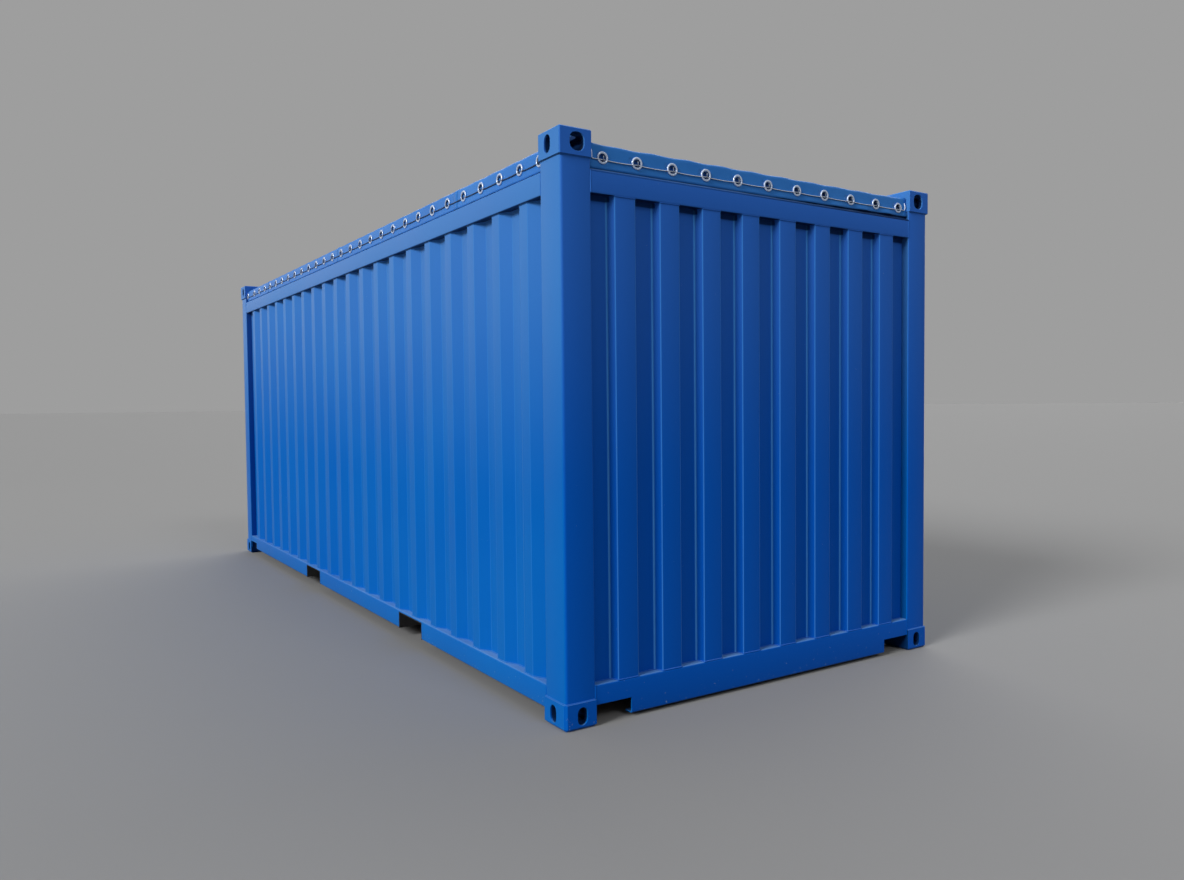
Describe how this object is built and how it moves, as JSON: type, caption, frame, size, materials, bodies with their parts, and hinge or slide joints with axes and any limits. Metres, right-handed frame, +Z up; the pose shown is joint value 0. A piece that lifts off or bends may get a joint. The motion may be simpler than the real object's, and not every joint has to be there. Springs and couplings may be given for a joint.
{
  "type": "open-top shipping container",
  "caption": "Open-top freight container of the short standard length: corrugated steel walls, cast corners, rear doors, forklift pockets and a laced tarpaulin roof over bows.",
  "frame": {"origin": "middle of the footprint, on the ground under the bottom corner castings", "axes": "+X along the container to its closed front end, -X to the doors, +Y to the left side seen from the doors, +Z up"},
  "size_m": [6.058, 2.438, 2.591],
  "materials": {
    "frame_paint": "satin",
    "casting_paint": "satin",
    "wall_paint": "satin",
    "door_paint": "satin",
    "underside_coat": "matt",
    "tarpaulin": "satin",
    "lacing_steel": "zinc plated",
    "galvanised_steel": "hot-dip galvanised",
    "plywood": "varnished",
    "rubber": "matt"
  },
  "bodies": {
    "root": {"cam_keepers": "frame_paint", "door_gasket": "rubber", "door_handles": "galvanised_steel", "floor": "plywood", "floor_channels": "underside_coat", "forklift_pockets": "underside_coat", "front_bottom_rail": "frame_paint", "front_left_bottom_casting": "casting_paint", "front_left_post": "frame_paint", "front_left_top_casting": "casting_paint", "front_right_bottom_casting": "casting_paint", "front_right_post": "frame_paint", "front_right_top_casting": "casting_paint", "front_tie_staples": "lacing_steel", "front_top_rail": "frame_paint", "front_wall": "wall_paint", "handle_catches": "galvanised_steel", "lacing_cable": "lacing_steel", "left_bottom_rail": "frame_paint", "left_door": "door_paint", "left_door_hinges": "frame_paint", "left_lock_bars": "galvanised_steel", "left_tie_staples": "lacing_steel", "left_top_rail": "frame_paint", "left_wall": "wall_paint", "lock_bar_guides": "galvanised_steel", "rear_door_sill": "frame_paint", "rear_header": "frame_paint", "rear_left_bottom_casting": "casting_paint", "rear_left_post": "frame_paint", "rear_left_top_casting": "casting_paint", "rear_right_bottom_casting": "casting_paint", "rear_right_post": "frame_paint", "rear_right_top_casting": "casting_paint", "rear_tie_staples": "lacing_steel", "right_bottom_rail": "frame_paint", "right_door": "door_paint", "right_door_hinges": "frame_paint", "right_lock_bars": "galvanised_steel", "right_tie_staples": "lacing_steel", "right_top_rail": "frame_paint", "right_wall": "wall_paint", "roof_bows": "galvanised_steel", "tarpaulin": "tarpaulin"}
  },
  "joints": []
}
